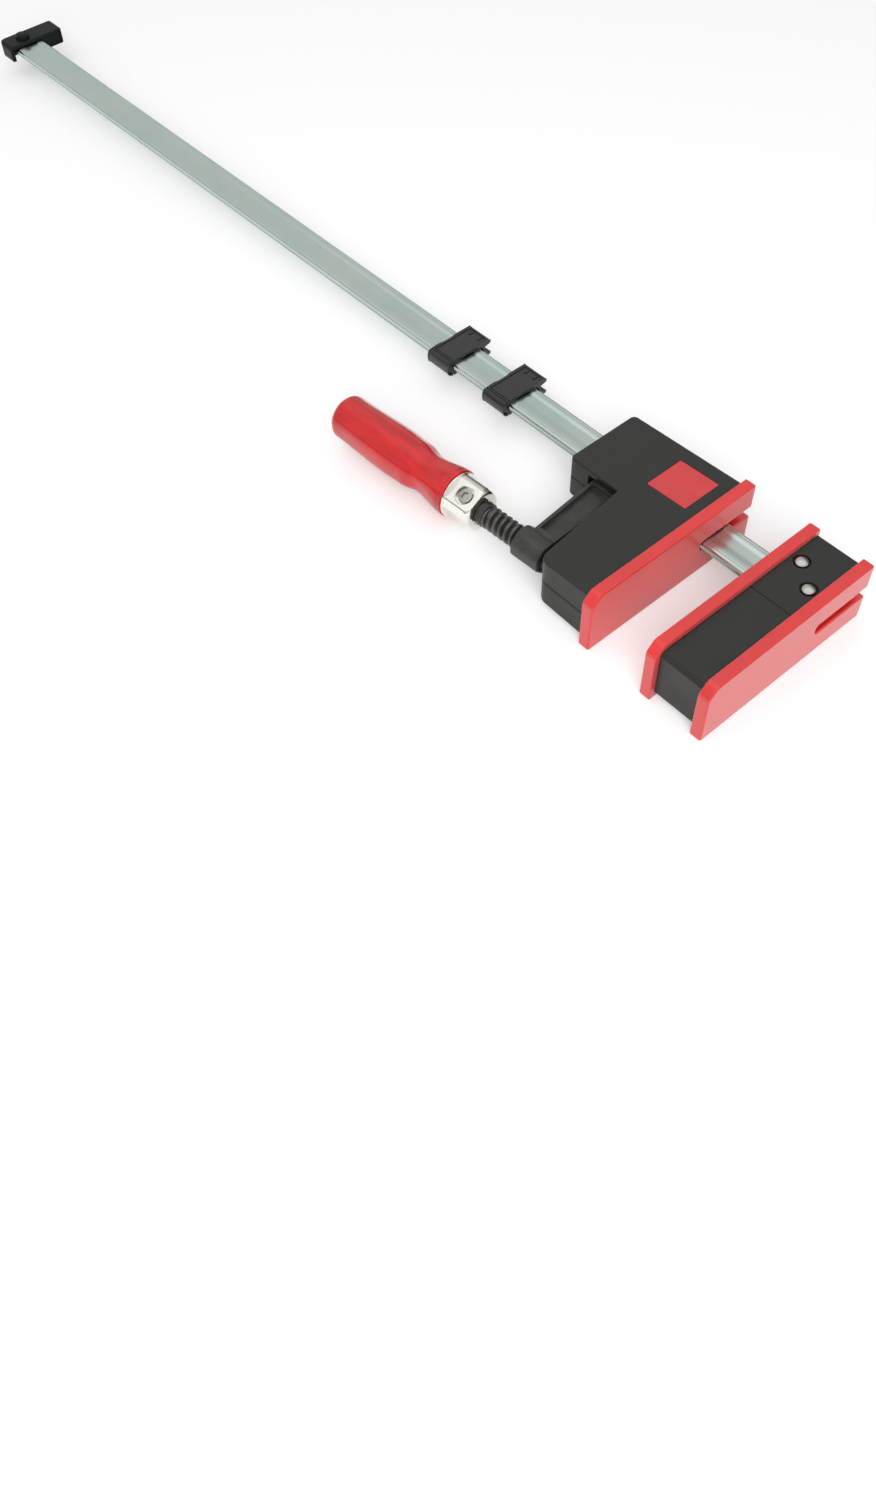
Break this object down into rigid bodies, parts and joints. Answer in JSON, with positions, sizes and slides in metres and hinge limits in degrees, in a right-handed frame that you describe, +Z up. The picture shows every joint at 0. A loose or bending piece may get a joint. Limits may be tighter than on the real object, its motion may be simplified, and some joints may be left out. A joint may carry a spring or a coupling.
{
  "type": "parallel clamp",
  "caption": "Parallel clamp with a steel bar, padded parallel jaws, a screw feed in the moving jaw and a turned wooden handle.",
  "frame": {"origin": "bottom centre of the bounding box of the clamp lying on its side", "axes": "+X along the bar from its tail to the fixed jaw, -Y the way the jaws reach from the bar, +Z up, square to the bar's wide faces"},
  "size_m": [0.77, 0.1214, 0.0372],
  "materials": {
    "red_plastic": "satin red moulded plastic",
    "label_red": "plain glossy red plate without lettering",
    "lacquered_wood": "turned wood with a glossy deep red lacquer",
    "black_plastic": "black moulded plastic with a fine grain",
    "dark_plastic": "dark grey plain plastic",
    "zinc_steel": "drawn steel with bright zinc plating",
    "nickel_steel": "bright nickel-plated steel",
    "black_steel": "blackened or black-coated steel",
    "cast_core": "rough cast metal",
    "hard_steel": "plain hardened steel"
  },
  "bodies": {
    "rail": {"rail_bar": "zinc_steel", "fixed_jaw_body": "black_plastic", "fixed_jaw_core": "cast_core", "rivet_front": "nickel_steel", "rivet_rear": "nickel_steel", "fixed_face_pad": "red_plastic", "fixed_back_pad": "red_plastic", "end_cap": "black_plastic", "end_cap_pin": "dark_plastic"},
    "arm": {"sliding_arm": "black_steel", "bite_pin_front": "hard_steel", "bite_pin_rear": "hard_steel", "arm_drag_spring": "hard_steel"},
    "cup": {"pressure_cup": "hard_steel"},
    "spindle_group": {"spindle": "black_steel", "handle_ferrule": "nickel_steel", "wood_handle": "lacquered_wood", "cross_screw": "nickel_steel"},
    "jaw": {"jaw_shell_top": "black_plastic", "jaw_shell_bottom": "black_plastic", "jaw_core": "cast_core", "moving_face_pad": "red_plastic", "front_bar_guide": "dark_plastic", "rear_bar_guide": "dark_plastic", "thrust_plate": "hard_steel", "spindle_retainer": "hard_steel", "shell_screw_1": "black_steel", "shell_screw_2": "black_steel", "shell_screw_3": "black_steel", "shell_screw_4": "black_steel", "jaw_label": "label_red"},
    "clip_front": {"support_clip_front": "black_plastic"},
    "clip_rear": {"support_clip_rear": "black_plastic"}
  },
  "joints": [
    {"name": "arm_slide", "type": "slide", "parent": "rail", "child": "arm", "axis": [1, 0, 0], "range_m": [-0.543, 0.0333]},
    {"name": "spindle_feed", "type": "slide", "parent": "arm", "child": "cup", "axis": [0.9989, 0.0471, 0], "range_m": [-0.00902, 0.00151]},
    {"name": "handle_turn", "type": "hinge", "parent": "cup", "child": "spindle_group", "pos_m": [0.2533, -0.04134, 0.0186], "axis": [0.9989, 0.0471, 0], "range_deg": [-811, 135.3]},
    {"name": "jaw_feed", "type": "slide", "parent": "arm", "child": "jaw", "axis": [1, 0, 0], "range_m": [-0.009, 0.0015]},
    {"name": "clip_front_slide", "type": "slide", "parent": "rail", "child": "clip_front", "axis": [1, 0, 0], "range_m": [-0.4943, 0.0304]},
    {"name": "clip_rear_slide", "type": "slide", "parent": "rail", "child": "clip_rear", "axis": [1, 0, 0], "range_m": [-0.4662, 0.0287]}
  ],
  "couplings": [
    {"joint": "handle_turn", "follows": "jaw_feed", "rad_per_m": 1572.5},
    {"joint": "spindle_feed", "follows": "jaw_feed", "ratio": 1.0011},
    {"joint": "clip_front_slide", "follows": "arm_slide", "ratio": 0.9102},
    {"joint": "clip_rear_slide", "follows": "arm_slide", "ratio": 0.8584}
  ]
}
